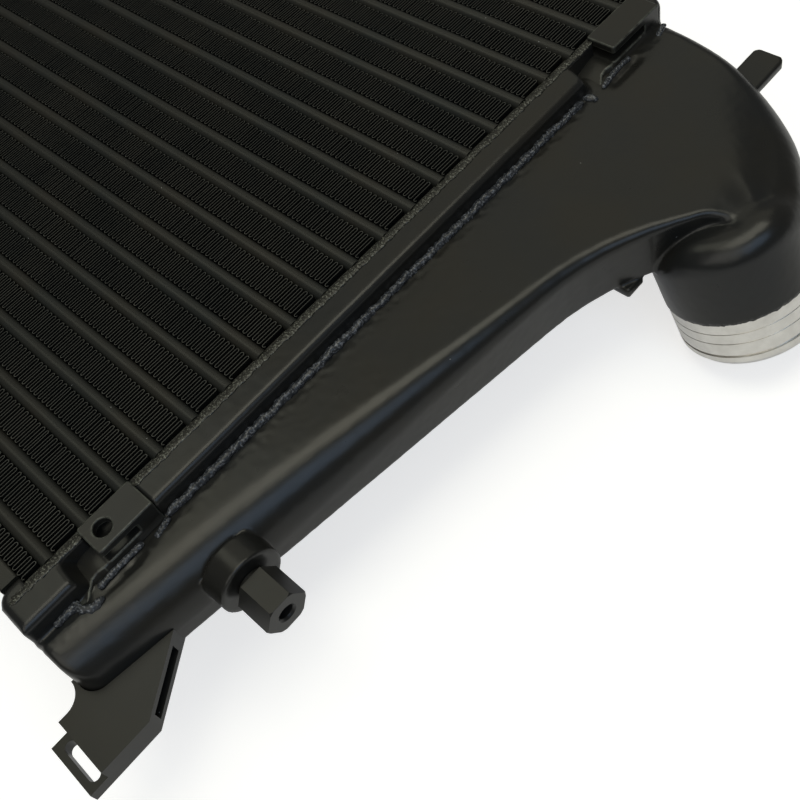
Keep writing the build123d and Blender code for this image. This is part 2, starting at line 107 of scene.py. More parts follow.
# The body is a flat duct that widens from the narrow end and turns in an elbow.
BODY_DROP = 10.0
BODY_BACK = CORE_DEPTH - BODY_DROP
BODY_BACK_EDGE = 1.5
BODY_INNER = 12.0
BODY_END_INSET = 2.5
TANK_WALL = 3.5
INNER_EDGE = 2.0
HOLLOW_START = 30.0
NARROW_WIDTH = 42.0
NARROW_EXTRA = 30.0
NARROW_CORNER = 8.0
WALL_TAPER = math.radians(7.8)
ELBOW_REACH = 167.0
THROAT_RADIUS = 135.0
THROAT_TURN = math.radians(27.4)
THROAT_RUN = 9.0
HEEL_RADIUS = 18.0
NOSE_RADIUS = 12.3

# The body's front edge is rounded differently along its way from the end to the dome.
END_EDGE = 3.3
END_EDGE_SPAN = (14, 26)
WALL_EDGE = 22.0
THROAT_EDGE = 6.5
THROAT_EDGE_SPAN = (-150, 60)
NOSE_EDGE = 3.0
NOSE_EDGE_SPAN = (70, 105)
OUTER_EDGE = 8.0
DOME_EDGE = 13.0
DOME_EDGE_SPAN = (110, 135)

# The dome is the elbow's outer side, where the top rolls off and the wall swells.
BEYOND_THROAT_SPAN = (110, 150)
DOME_START_SPAN = (90, 106)
DOME_START = 100.0
DOME_START_SHIFT = 45.0
DOME_FADE = 28.0
DOME_FADE_GROWTH = 22.0
DOME_DROP = 5.0
DOME_RUN = 32.0
DOME_SWELL = 3.2
DOME_SWELL_SPAN = (112, 138)

# The outlet is a tilted round neck under the elbow, with a domed crown.
OUTLET_PLACE = np.array([114.6, OUTLET_END - 83.4, -58.8])
OUTLET_TILT = math.radians(21.8)
OUTLET_AXIS = np.array([math.sin(OUTLET_TILT), 0, -math.cos(OUTLET_TILT)])
OUTLET_RADIUS = 35.0
OUTLET_WALL = 3.5
OUTLET_LEAST_WALL = 3.0
THROAT_SIDE = np.array([0.711, -0.643, 0.284])
CROWN_HEIGHT = 32.0
CROWN_ROUND = 12.0
CROWN_RAISE = 9.0
NECK_TOP = 20.0
NECK_MOUTH_REACH = 3.0
NECK_BLEND = 2.5
NECK_BLEND_GROWTH = 9.0
NECK_BLEND_SPAN = (112, 132)

# Boss under the standoff, tab on the outlet's end, ear under the throat.
BOSS_Y = NARROW_END + 70.9
BOSS_RADIUS = 14.7
BOSS_FACE = 59.7
BOSS_ROOT = 47.0
BOSS_EDGE = 0.6
BOSS_BLEND = 1.2
TAB_X = 68.4
TAB_HALF_WIDTH = 8.1
TAB_END = OUTLET_END + 13.6
TAB_HEIGHTS = (-27.5, -22.5)
TAB_CORNER = 4.5
TAB_EDGE = 1.2
TAB_BLEND = 2.0
EAR_LOW = (73.5, OUTLET_END - 131.5, -BODY_BACK - 4)
EAR_HIGH = (89.5, OUTLET_END - 120.5, -BODY_BACK + 1)
EAR_EDGE = 0.8

# Lugs: start and length along the tank, from its narrow end.
LUGS = {"narrow": (38.7, 27.0), "outlet": (360.8, 36.0)}
LUG_SLOTS = {"narrow": 17.0, "outlet": 25.0}
LUG_LOW = 2.2
LUG_HIGH = 18.4
LUG_HOLE = 8.0
LUG_HOLE_INSET = 7.7
RAMP_INNER = 6.5
RAMP_START = -18.0

# Each ramp's outer edge is x at a distance along from the lug's free end, and each lip
# is the distance along at which the strip stops, at an x.
RAMP_EDGE = (
    (-17.3, -14.6, -11.6, -8.5, -5.5, -2.2, 0.0),
    (24.1, 21.8, 19.2, 17.2, 16.9, 17.9, 17.8),
)
STRIP_LIPS = {
    "narrow": ((6.2, 10.5, 15.2, 18.8), (-12.7, -13.4, -13.8, -14.4)),
    "outlet": ((9.5, 14.0, 17.7, 20.9), (-20.4, -21.8, -23.6, -26.0)),
}
NOTCH_FLOOR = -BODY_DROP - 2
NOTCH_BLEND = 1.6
LIP_LEAN = 0.45
LIP_SCALE = 0.9


# ---- small helpers ---------------------------------------------------------------------
def to_world(points, side):
    """Tank points in millimetres to frame points in metres; side -1 is the left-hand end."""
    placed = (np.asarray(points, float) + TANK_SHIFT) * MM
    placed[..., 0] *= side
    return placed


def mesh_object(name, points, faces, material, smooth=True):
    """Object from points in metres and an array of faces with the same number of corners."""
    points = np.ascontiguousarray(points, np.float32)
    faces = np.ascontiguousarray(faces, np.int32)
    count, corners = faces.shape
    mesh = bpy.data.meshes.new(name)
    mesh.vertices.add(len(points))
    mesh.vertices.foreach_set("co", points.ravel())
    mesh.loops.add(count * corners)
    mesh.loops.foreach_set("vertex_index", faces.ravel())
    mesh.polygons.add(count)
    mesh.polygons.foreach_set("loop_start", np.arange(0, count * corners, corners, dtype=np.int32))
    mesh.polygons.foreach_set("use_smooth", np.full(count, smooth))
    mesh.update(calc_edges=True)
    mesh.validate()
    mesh.materials.append(material)
    piece = bpy.data.objects.new(name, mesh)
    bpy.context.scene.collection.objects.link(piece)
    return piece


def add_part(name, points, faces, side, material):
    """Piece of the object at one end, from tank points; it rides on the only body."""
    if side < 0:
        faces = faces[:, ::-1]
    piece = mesh_object(name, to_world(points, side), faces, material)
    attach(piece, "root")
    return piece


# ---- noise -----------------------------------------------------------------------------
LATTICE_SIZE = 32
LATTICE = np.random.default_rng(7).uniform(-1, 1, (LATTICE_SIZE,) * 3)


def noise(points, cell):
    """Smooth random value from -1 to 1 that varies over cells of that size."""
    scaled = points / cell
    base = np.floor(scaled).astype(int)
    part = scaled - base
    part = part * part * (3 - 2 * part)
    total = np.zeros(len(points))
    for corner in itertools.product((0, 1), repeat=3):
        weight = np.prod(np.where(corner, part, 1 - part), axis=1)
        place = (base + corner) % LATTICE_SIZE
        total += weight * LATTICE[place[:, 0], place[:, 1], place[:, 2]]
    return total


# ---- signed distances: below 0 inside ----------------------------------------------------
def smooth_union(a, b, reach):
    """Both shapes, with the corner between them filled over that reach."""
    mix = np.clip(0.5 + 0.5 * (b - a) / reach, 0, 1)
    return b * (1 - mix) + a * mix - reach * mix * (1 - mix)


def smooth_cut(a, b, reach):
    """Shape a without shape b."""
    return -smooth_union(-a, b, reach)


def smooth_step(low, high, value):
    """0 up to the low value and 1 from the high one, with a smooth rise between."""
    part = np.clip((value - low) / (high - low), 0, 1)
    return part * part * (3 - 2 * part)


def corner_distance(first, second, radius):
    """Distance to the shape where both are below 0, its edge rounded by that radius."""
    first = first + radius
    second = second + radius
    outside = np.hypot(np.maximum(first, 0), np.maximum(second, 0))
    return outside + np.minimum(np.maximum(first, second), 0) - radius


def box_distance(points, low, high, radius):
    """Distance to a box between two corners, its edges rounded by that radius."""
    low = np.array(low, float)
    high = np.array(high, float)
    away = np.abs(points - (low + high) / 2) - (high - low) / 2 + radius
    outside = np.linalg.norm(np.maximum(away, 0), axis=1)
    return outside + np.minimum(away.max(axis=1), 0) - radius


def layer_distance(plan, z, front, back, front_edge, back_edge):
    """Plan outline between two heights, with round edges of their own radius."""
    upper = corner_distance(plan, z - front, front_edge)
    lower = corner_distance(plan, back - z, back_edge)
    return np.where(z > (front + 2 * back) / 3, upper, lower)


# ---- plan of the tank's body -------------------------------------------------------------
ARC_STEP = math.radians(4)


def heading_vector(heading):
    """Unit vector; the heading is 0 along +Y and grows towards +X."""
    return np.array([math.sin(heading), math.cos(heading)])


def add_arc(path, heading, radius, turn):
    """Continue a path by an arc that turns clockwise, or the other way if turn is below 0."""
    hand = math.copysign(1, turn)
    across = np.array([math.cos(heading), -math.sin(heading)])
    centre = path[-1] + hand * radius * across
    steps = max(2, int(abs(turn) / ARC_STEP))
    for angle in np.linspace(0, turn, steps + 1)[1:]:
        across = np.array([math.cos(heading + angle), -math.sin(heading + angle)])
        path.append(centre - hand * radius * across)
    return heading + turn


def body_outline():
    """Closed path: tapered wall, throat, nose and the elbow's outer side. It starts beyond
    the narrow end, where the body is cut off later."""
    bend = np.array([NARROW_WIDTH, OUTLET_END - ELBOW_REACH])
    bend[0] += (bend[1] - NARROW_END) * math.tan(WALL_TAPER)
    start = np.array([BODY_INNER - 8, NARROW_END - NARROW_EXTRA])
    corner = np.array([NARROW_WIDTH - NARROW_EXTRA * math.tan(WALL_TAPER), start[1]])
    path = [start, corner, bend]
    heading = add_arc(path, WALL_TAPER, THROAT_RADIUS, THROAT_TURN)
    path.append(path[-1] + THROAT_RUN * heading_vector(heading))
    heading = add_arc(path, heading, HEEL_RADIUS, math.pi / 2 - heading)
    add_arc(path, heading, NOSE_RADIUS, -math.pi / 2)
    tip = path[-1]
    end_y = OUTLET_END - BODY_END_INSET
    for angle in np.linspace(0, math.pi / 2, 40)[1:]:
        path.append(np.array([
            BODY_INNER + (tip[0] - BODY_INNER) * math.cos(angle),
            tip[1] + (end_y - tip[1]) * math.sin(angle),
        ]))
    path.append(np.array([start[0], end_y]))
    return np.array(path)


PLAN_STEP = 1.0
PLAN_X = np.arange(-12.0, 170.0, PLAN_STEP)
PLAN_Y = np.arange(NARROW_END - 40.0, OUTLET_END + 40.0, PLAN_STEP)


def outline_distance(path):
    """Signed distance from a closed path, on the plan's grid."""
    x, y = np.meshgrid(PLAN_X, PLAN_Y, indexing="ij")
    nearest = np.full(x.shape, np.inf)
    inside = np.zeros(x.shape, bool)
    for (ax, ay), (bx, by) in zip(path, np.roll(path, -1, axis=0)):
        ex = bx - ax
        ey = by - ay
        along = np.clip(((x - ax) * ex + (y - ay) * ey) / (ex * ex + ey * ey), 0, 1)
        nearest = np.minimum(nearest, (x - ax - along * ex) ** 2 + (y - ay - along * ey) ** 2)
        if ay != by:
            inside ^= ((ay > y) != (by > y)) & (x < ax + (y - ay) * ex / ey)
    return np.where(inside, -1, 1) * np.sqrt(nearest)


BODY_PLAN = outline_distance(body_outline())


def body_plan(x, y):
    """The plan's signed distance at any points, between the grid's values."""
    u = np.clip((x - PLAN_X[0]) / PLAN_STEP, 0, len(PLAN_X) - 1.001)
    v = np.clip((y - PLAN_Y[0]) / PLAN_STEP, 0, len(PLAN_Y) - 1.001)
    i, j = u.astype(int), v.astype(int)
    u, v = u - i, v - j
    near = BODY_PLAN[i, j] * (1 - v) + BODY_PLAN[i, j + 1] * v
    far = BODY_PLAN[i + 1, j] * (1 - v) + BODY_PLAN[i + 1, j + 1] * v
    return near * (1 - u) + far * u


# ---- the tank as a signed distance -------------------------------------------------------
def lug_span(name):
    """Where a lug starts and ends along the tank; its free end comes first."""
    start, length = LUGS[name]
    return NARROW_END + start, NARROW_END + start + length


def neck_distance(points, inset):
    """The neck and its domed crown, which is higher on the throat's side. The distance
    from the axis and the height below the neck's middle come with it."""
    away = points - OUTLET_PLACE
    down = away @ OUTLET_AXIS
    spread = away - down[:, None] * OUTLET_AXIS
    reach = np.linalg.norm(spread, axis=1)
    near = smooth_step(0.0, 0.9, spread @ THROAT_SIDE / np.maximum(reach, 1))
    height = CROWN_HEIGHT + CROWN_RAISE * near
    rounding = CROWN_ROUND - inset
    radial = reach - OUTLET_RADIUS + inset
    first = radial + rounding
    second = rounding + inset - height - down
    outside = np.hypot(np.maximum(first, 0), np.maximum(second, 0))
    return outside + np.minimum(np.maximum(first, second), 0) - rounding, radial, down


def flange_distance(x, y, z):
    """The strip along the core's end, with a cheek that laps over the core's lower corner."""
    plan = corner_distance(x - FLANGE_OUTER, y - OUTLET_END, FLANGE_CORNER)
    plan = corner_distance(plan, NARROW_END - y, NARROW_FLANGE_CORNER)
    plan = corner_distance(plan, FLANGE_INNER - x, 0.3)
    strip = layer_distance(plan, z, 0, -CORE_DEPTH, FLANGE_EDGE, FLANGE_EDGE)
    cheek = corner_distance(-CHEEK_REACH - x, NARROW_END - y, CHEEK_CORNER)
    cheek = layer_distance(cheek, z, 0, -CORE_DEPTH, FLANGE_EDGE, FLANGE_EDGE)
    cheek = np.maximum(cheek, np.maximum(y - CHEEK_END, x - CHEEK_OUTER))
    return np.minimum(strip, cheek)


def strip_lip(name, x):
    """Where the strip stops before a lug, from the lug's free end."""
    return np.interp(x, *STRIP_LIPS[name])


def notch_distance(points):
    """Space in the flange's front for the lugs, their ramps and welds."""
    x, y, z = points.T
    nearest = np.full(len(points), np.inf)
    for name in LUGS:
        free, closed = lug_span(name)
        under = box_distance(points, (0, free, NOTCH_FLOOR), (60, closed, 30), 1.0)
        lean = (free + strip_lip(name, x) - LIP_LEAN * np.minimum(z, 0) - y) * LIP_SCALE
        before = corner_distance(lean, RAMP_INNER - x, 2.0)
        before = np.maximum(np.maximum(before, NOTCH_FLOOR - z), y - closed)
        nearest = np.minimum(nearest, np.minimum(under, before))
    return nearest


def dome_share(x, y):
    """1 at the elbow's outer side, where the top rolls off; 0 over the rest of the body."""
    beyond_throat = smooth_step(*BEYOND_THROAT_SPAN, y)
    start = DOME_START - DOME_START_SHIFT * beyond_throat
    fade = DOME_FADE + DOME_FADE_GROWTH * beyond_throat
    return smooth_step(0, 1, (x - start) / fade) * smooth_step(*DOME_START_SPAN, y)


def front_edge_radius(x, y, dome):
    """Rounding of the body's front edge, tightest along the nose."""
    radius = WALL_EDGE + (THROAT_EDGE - WALL_EDGE) * smooth_step(*THROAT_EDGE_SPAN, y)
    radius += (NOSE_EDGE - radius) * smooth_step(*NOSE_EDGE_SPAN, x)
    radius += (OUTER_EDGE - radius) * smooth_step(*BEYOND_THROAT_SPAN, y)
    return radius + (DOME_EDGE - radius) * dome * smooth_step(*DOME_EDGE_SPAN, y)


def duct_distances(points):
    """Outside and inside of the duct: body, elbow and neck."""
    x, y, z = points.T
    plan = body_plan(x, y)
    dome = dome_share(x, y)
    edge = front_edge_radius(x, y, dome)
    height = z + DOME_DROP * dome * (1 - smooth_step(0, DOME_RUN, -plan))
    swell = DOME_SWELL * dome * smooth_step(*DOME_SWELL_SPAN, y)
    body = layer_distance(plan - swell, height, -BODY_DROP, -BODY_BACK, edge, BODY_BACK_EDGE)
    end_edge = END_EDGE + (NARROW_CORNER - END_EDGE) * smooth_step(*END_EDGE_SPAN, -z)
    body = corner_distance(body, NARROW_END - y, end_edge)
    neck, _, down = neck_distance(points, 0.0)
    blend = NECK_BLEND + NECK_BLEND_GROWTH * smooth_step(*NECK_BLEND_SPAN, x)
    outside = smooth_union(body, np.maximum(neck, down), blend)
    outside = np.maximum(outside, np.where(neck < NECK_MOUTH_REACH, down, -1.0))

    inner_neck, inner_radial, _ = neck_distance(points, OUTLET_WALL)
    shaft = np.maximum(np.maximum(inner_radial, plan + OUTLET_WALL), z + NECK_TOP)
    inner_edge = np.maximum(edge - TANK_WALL, INNER_EDGE)
    front = -BODY_DROP - TANK_WALL
    back = TANK_WALL - BODY_BACK
    duct = layer_distance(plan + TANK_WALL, height, front, back, inner_edge, INNER_EDGE)
    inside = np.minimum(np.minimum(inner_neck, shaft), np.maximum(duct, HOLLOW_START - y))
    inside = np.maximum(inside, smooth_union(body, neck, blend) + OUTLET_LEAST_WALL)
    return outside, inside


def boss_distance(x, y, z):
    """Round boss under the hexagonal standoff."""
    radial = np.hypot(y - BOSS_Y, z + CORE_DEPTH / 2) - BOSS_RADIUS
    return np.maximum(corner_distance(radial, x - BOSS_FACE, BOSS_EDGE), BOSS_ROOT - x)


def tab_distance(points):
    """Flat tab with round corners on the outlet's end."""
    x, y, _ = points.T
    low = (TAB_X - TAB_HALF_WIDTH, OUTLET_END - 20, TAB_HEIGHTS[0])
    high = (TAB_X + TAB_HALF_WIDTH, TAB_END, TAB_HEIGHTS[1])
    plan = corner_distance(np.abs(x - TAB_X) - TAB_HALF_WIDTH, y - TAB_END, TAB_CORNER)
    return np.maximum(box_distance(points, low, high, TAB_EDGE), plan)


def tank_distance(points):
    """The whole tank, hollow, with its flange."""
    x, y, z = points.T
    whole, hollow = duct_distances(points)
    whole = smooth_union(whole, boss_distance(x, y, z), BOSS_BLEND)
    whole = smooth_union(whole, tab_distance(points), TAB_BLEND)
    whole = smooth_union(whole, box_distance(points, EAR_LOW, EAR_HIGH, EAR_EDGE), EAR_EDGE)
    flange = smooth_cut(flange_distance(x, y, z), notch_distance(points), NOTCH_BLEND)
    whole = smooth_union(whole, flange, FLANGE_BLEND)
    core_side = np.minimum(FLANGE_INNER - x, np.maximum(-CHEEK_REACH - x, y - CHEEK_END))
    return np.maximum(np.maximum(whole, -hollow), core_side)


# ---- meshing a signed distance -----------------------------------------------------------
CUBE = np.array(list(itertools.product((0, 1), repeat=3)))
CUBE_EDGES = [
    (a, b)
    for a, b in itertools.combinations(range(8), 2)
    if np.abs(CUBE[a] - CUBE[b]).sum() == 1
]


def corner_values(grid, corner):
    """The grid's value at one corner of every cell."""
    a, b, c = corner
    rows, columns, layers = grid.shape
    return grid[a:rows - 1 + a, b:columns - 1 + b, c:layers - 1 + c]


def surface_points(field, low, high, step):
    """Surface nets: one point in each cell that the surface crosses, and a quad for each
    grid edge that it cuts."""
    axes = [np.arange(a, b + step, step) for a, b in zip(low, high)]
    x, y = np.meshgrid(axes[0], axes[1], indexing="ij")
    values = np.empty([len(a) for a in axes])
    for k, z in enumerate(axes[2]):
        level = np.column_stack([x.ravel(), y.ravel(), np.full(x.size, z)])
        values[:, :, k] = field(level).reshape(x.shape)
    inside = values < 0
    count = sum(corner_values(inside, corner).astype(int) for corner in CUBE)
    cells = np.argwhere((count > 0) & (count < 8))
    number = np.full(count.shape, -1)
    number[tuple(cells.T)] = np.arange(len(cells))
    total = np.zeros((len(cells), 3))
    crossings = np.zeros(len(cells))
    for a, b in CUBE_EDGES:
        first = values[tuple((cells + CUBE[a]).T)]
        second = values[tuple((cells + CUBE[b]).T)]
        cut = (first < 0) != (second < 0)
        part = np.where(cut, first / np.where(cut, first - second, 1), 0)
        total += cut[:, None] * (CUBE[a] + part[:, None] * (CUBE[b] - CUBE[a]))
        crossings += cut
    points = np.array(low) + step * (cells + total / crossings[:, None])

    quads = []
    for axis in range(3):
        first, second = (axis + 1) % 3, (axis + 2) % 3
        here = [slice(1, -1)] * 3
        there = [slice(1, -1)] * 3
        there[axis] = slice(2, None)
        outwards = inside[tuple(here)] & ~inside[tuple(there)]
        inwards = ~inside[tuple(here)] & inside[tuple(there)]
        for crossed, order in ((outwards, 1), (inwards, -1)):
            edges = np.argwhere(crossed) + 1
            ring = []
            for da, db in ((1, 1), (0, 1), (0, 0), (1, 0)):
                cell = edges.copy()
                cell[:, first] -= da
                cell[:, second] -= db
                ring.append(number[tuple(cell.T)])
            quads.append(np.column_stack(ring)[:, ::order])
    return points, np.vstack(quads)


def gradient(field, points, reach=0.05):
    """How fast the distance grows along each axis."""
    slope = np.empty(points.shape)
    for axis in range(3):
        shift = np.zeros(3)
        shift[axis] = reach
        slope[:, axis] = (field(points + shift) - field(points - shift)) / (2 * reach)
    return slope


def settle(field, points):
    """Move points onto the surface, and give the surface's normal there."""
    for _ in range(2):
        slope = gradient(field, points)
        size = np.maximum((slope ** 2).sum(axis=1), 0.25)
        points = points - (field(points) / size)[:, None] * slope
    slope = gradient(field, points)
    return points, slope / np.maximum(np.linalg.norm(slope, axis=1), 1e-6)[:, None]


def edge_sharpness(field, points, reach=0.35):
    """1 on outer edges, 0 on flats and hollows."""
    total = -6 * field(points)
    for axis in range(3):
        shift = np.zeros(3)
        shift[axis] = reach
        total += field(points + shift) + field(points - shift)
    return smooth_step(0.35, 1.1, total / reach ** 2)


# ---- materials -------------------------------------------------------------------------
class Shading:
    """A material's node tree, with short ways to add and join nodes."""

    def __init__(self, name, metallic, roughness, specular=0.5):
        self.material = bpy.data.materials.new(name)
        self.material.use_nodes = True
        self.tree = self.material.node_tree
        self.shader = self.tree.nodes["Principled BSDF"]
        self.shader.inputs["Metallic"].default_value = metallic
        self.shader.inputs["Roughness"].default_value = roughness
        self.shader.inputs["Specular IOR Level"].default_value = specular
        place = self.tree.nodes.new("ShaderNodeTexCoord")
        self.place = place.outputs["Object"]

    def add(self, kind, inputs=(), **settings):
        """New node; each input is a value or another node's output."""
        node = self.tree.nodes.new(kind)
        for key, value in settings.items():
            setattr(node, key, value)
        for key, value in dict(inputs).items():
            if isinstance(value, bpy.types.NodeSocket):
                self.tree.links.new(value, node.inputs[key])
            else:
                node.inputs[key].default_value = value
        return node

    def noise(self, cell, detail=2.0, place=None):
        """Random value from 0 to 1, over cells of that many millimetres."""
        inputs = {"Vector": place or self.place, "Scale": 1 / (cell * MM), "Detail": detail}
        return self.add("ShaderNodeTexNoise", inputs).outputs["Fac"]

    def sharpen(self, value, low, high):
        """0 below the low value, 1 above the high one."""
        inputs = {"Value": value, "From Min": low, "From Max": high}
        return self.add("ShaderNodeMapRange", inputs).outputs["Result"]

    def math(self, operation, *values):
        """Result of a sum on values or outputs."""
        return self.add("ShaderNodeMath", enumerate(values), operation=operation).outputs[0]

    def mix(self, part, first, second):
        """Blend of two colours, each a tuple or an output."""
        node = self.add("ShaderNodeMix", data_type="RGBA")
        self.tree.links.new(part, node.inputs["Factor"])
        for socket, colour in ((node.inputs[6], first), (node.inputs[7], second)):
            if isinstance(colour, bpy.types.NodeSocket):
                self.tree.links.new(colour, socket)
            else:
                socket.default_value = (*colour, 1)
        return node.outputs[2]

    def specks(self, cell, size, share):
        """1 in small dots, in that share of the cells."""
        cells = self.add("ShaderNodeTexVoronoi", {"Vector": self.place, "Scale": 1 / (cell * MM)})
        near = self.math("LESS_THAN", cells.outputs["Distance"], size / cell)
        split = self.add("ShaderNodeSeparateColor", {"Color": cells.outputs["Color"]})
        chosen = self.math("LESS_THAN", split.outputs[0], share)
        return self.math("MULTIPLY", near, chosen)

    def bump(self, *layers):
        """Height layers of (output, depth in millimetres)."""
        normal = None
        for height, depth in layers:
            inputs = {"Height": height, "Distance": depth * MM, "Strength": 1.0}
            node = self.add("ShaderNodeBump", inputs)
            if normal is not None:
                self.tree.links.new(normal, node.inputs["Normal"])
            normal = node.outputs["Normal"]
        self.tree.links.new(normal, self.shader.inputs["Normal"])

    def colour(self, output):
        self.tree.links.new(output, self.shader.inputs["Base Color"])

    def roughness(self, value, low, high):
        """Roughness that follows a 0 to 1 value between two levels."""
        inputs = {"Value": value, "To Min": low, "To Max": high}
        spread = self.add("ShaderNodeMapRange", inputs)
        self.tree.links.new(spread.outputs["Result"], self.shader.inputs["Roughness"])


DUST = (0.30, 0.31, 0.31)
# Lighter colour for edges: partly worn paint, partly a painted highlight on the edge.
EDGE_WEAR_AND_HIGHLIGHT = (0.07, 0.075, 0.065)
PAINT_GLOSS = 0.36


def make_paint(name, warm, cool, rough, grain, waves, dust=0.06):
    """Satin black paint in patches of two tints. Rough is the range of its roughness,
    grain and waves are bumps as (cell, depth), and dust is the share of cells with a speck."""
    paint = Shading(name, 0.0, rough[0], PAINT_GLOSS)
    patches = paint.sharpen(paint.noise(38.0, 2.0), 0.35, 0.65)
    tint = paint.mix(patches, warm, cool)
    # Edges marked by the edge attribute turn lighter in patches: partly worn paint, partly a
    # painted highlight.
    wear_and_highlight = paint.add("ShaderNodeAttribute", attribute_name="wear_and_highlight").outputs["Fac"]
    wear_and_highlight_patches = paint.math("MULTIPLY", wear_and_highlight, paint.sharpen(paint.noise(3.0, 3.0), 0.3, 0.6))
    tint = paint.mix(wear_and_highlight_patches, tint, EDGE_WEAR_AND_HIGHLIGHT)
    tint = paint.mix(paint.specks(5.0, 0.22, dust), tint, DUST)
    paint.colour(tint)
    paint.roughness(paint.noise(9.0, 3.0), *rough)
    paint.bump((paint.noise(grain[0], 3.0), grain[1]), (paint.noise(waves[0], 1.0), waves[1]))
    return paint.material


def make_weld_paint(name, base, bright):
    """Black paint over spatter and slag, with many pale flecks: painted glints, highlights painted
    into the colour.
    """
    paint = Shading(name, 0.0, 0.3, PAINT_GLOSS)
    painted_glints = paint.sharpen(paint.noise(0.9, 3.0), 0.52, 0.66)
    paint.colour(paint.mix(painted_glints, base, bright))
    paint.roughness(paint.noise(2.0, 2.0), 0.22, 0.45)
    paint.bump((paint.noise(0.9, 3.0), 0.12), (paint.noise(2.6, 1.0), 0.2))
    return paint.material


CAST_PAINT = make_paint(
    "cast_paint", warm=(0.014, 0.0135, 0.0115), cool=(0.0115, 0.0125, 0.013),
    rough=(0.25, 0.33), grain=(0.7, 0.012), waves=(6.0, 0.02),
)
CORE_PAINT = make_paint(
    "core_paint", warm=(0.016, 0.0155, 0.0125), cool=(0.013, 0.015, 0.014),
    rough=(0.34, 0.44), grain=(0.8, 0.008), waves=(7.0, 0.03), dust=0.14,
)
# Fins: the sides get a darker copy of the black paint, painted shade in the gaps between the legs.
# The front edges get a far lighter copy, a painted highlight.
FIN_SHADED_PAINT = make_paint(
    "fin_painted_shade", warm=(0.006, 0.006, 0.0055), cool=(0.005, 0.006, 0.006),
    rough=(0.34, 0.5), grain=(0.6, 0.006), waves=(3.0, 0.02), dust=0.0,
)
FIN_EDGE_HIGHLIGHT_PAINT = make_paint(
    "fin_edge_painted_highlight", warm=(0.045, 0.046, 0.041), cool=(0.030, 0.032, 0.030),
    rough=(0.34, 0.5), grain=(0.6, 0.006), waves=(3.0, 0.02), dust=0.0,
)
FITTING_PAINT = make_paint(
    "fitting_paint", warm=(0.015, 0.0145, 0.012), cool=(0.013, 0.0135, 0.0135),
    rough=(0.27, 0.35), grain=(0.6, 0.006), waves=(8.0, 0.02), dust=0.03,
)
# Bead and ridge carry pale painted glints. In the ridge's copy both colours are bluish, a painted
# reflection of the blue window light.
BEAD_PAINT = make_weld_paint("bead_paint", (0.020, 0.020, 0.017), (0.13, 0.135, 0.115))
RIDGE_PAINT = make_weld_paint("ridge_paint", (0.024, 0.027, 0.032), (0.15, 0.16, 0.18))


def make_bare_sheet():
    """Bare rolled aluminium."""
    sheet = Shading("bare_sheet_metal", 1.0, 0.4)
    sheet.colour(sheet.mix(sheet.noise(6.0, 3.0), (0.60, 0.60, 0.61), (0.74, 0.74, 0.75)))
    sheet.roughness(sheet.noise(3.0, 3.0), 0.35, 0.5)
    sheet.bump((sheet.noise(0.8, 2.0), 0.01))
    return sheet.material


def make_turned_metal():
    """Bare turned metal: rings along the neck, stains, and a dark ragged band at its top edge:
    partly paint that ran over the edge, partly painted shade under the casting's step.
    """
    metal = Shading("turned_metal", 1.0, 0.3)
    split = metal.add("ShaderNodeSeparateXYZ", {0: metal.place})
    mirrored = metal.add("ShaderNodeVectorMath", {0: metal.place}, operation="ABSOLUTE")
    either_side = metal.add("ShaderNodeSeparateXYZ", {0: mirrored.outputs[0]})
    x_part = metal.math("MULTIPLY", either_side.outputs[0], OUTLET_AXIS[0])
    z_part = metal.math("MULTIPLY", split.outputs[2], OUTLET_AXIS[2])
    start = float(to_world(OUTLET_PLACE, 1) @ OUTLET_AXIS)
    along = metal.math("SUBTRACT", metal.math("ADD", x_part, z_part), start)
    rings_place = metal.add("ShaderNodeCombineXYZ", {0: along}).outputs[0]
    rings = metal.noise(0.35, 3.0, rings_place)
    stains = metal.noise(7.0, 4.0)
    bright = metal.mix(metal.sharpen(stains, 0.35, 0.7), (0.86, 0.84, 0.80), (0.62, 0.60, 0.56))
    bright = metal.mix(metal.sharpen(rings, 0.2, 0.8), bright, (0.70, 0.69, 0.66))
    # Dark ragged band at the top: paint run over the edge, and painted shade under the casting's
    # step.
    ragged = metal.math("MULTIPLY", metal.noise(2.5, 3.0), 2.2 * MM)
    paint_and_shade_rim = metal.math("LESS_THAN", along, metal.math("SUBTRACT", ragged, 0.6 * MM))
    metal.colour(metal.mix(paint_and_shade_rim, bright, (0.02, 0.02, 0.02)))
    metal.tree.links.new(metal.math("SUBTRACT", 1.0, paint_and_shade_rim), metal.shader.inputs["Metallic"])
    metal.roughness(metal.noise(4.0, 3.0), 0.24, 0.42)
    metal.bump((rings, 0.015), (metal.noise(1.2, 2.0), 0.006))
    return metal.material


BARE_SHEET = make_bare_sheet()
TURNED_METAL = make_turned_metal()

NODE_MATERIALS = (
    ("air_fin", FIN_SHADED_PAINT),
    ("charge_tube", CORE_PAINT),
    ("side_plate", CORE_PAINT),
    ("closing_bars", CORE_PAINT),
    ("turbulators", BARE_SHEET),
    ("outlet_spigot", TURNED_METAL),
    ("end_tank", CAST_PAINT),
    ("front_lug", FITTING_PAINT),
    ("slotted_foot", FITTING_PAINT),
    ("standoff", FITTING_PAINT),
)


def paint_nodes():
    """Give each CAD node the material of its kind."""
    for node_name, node in NODES.items():
        for start, material in NODE_MATERIALS:
            if node_name.startswith(start):
                node.data.materials.clear()
                node.data.materials.append(material)


paint_nodes()


# ---- end tanks ---------------------------------------------------------------------------
TANK_STEP = 1.0
TANK_LOW = (-6.0, NARROW_END - 4.0, -100.0)
TANK_HIGH = (152.0, OUTLET_END + 18.0, 4.0)
RECESS_X = 23.0
RECESS_REACH = 7.0
TROUGH_X = 24.5
TROUGH_WIDTH = 2.3
TROUGH_DEPTH = 1.1


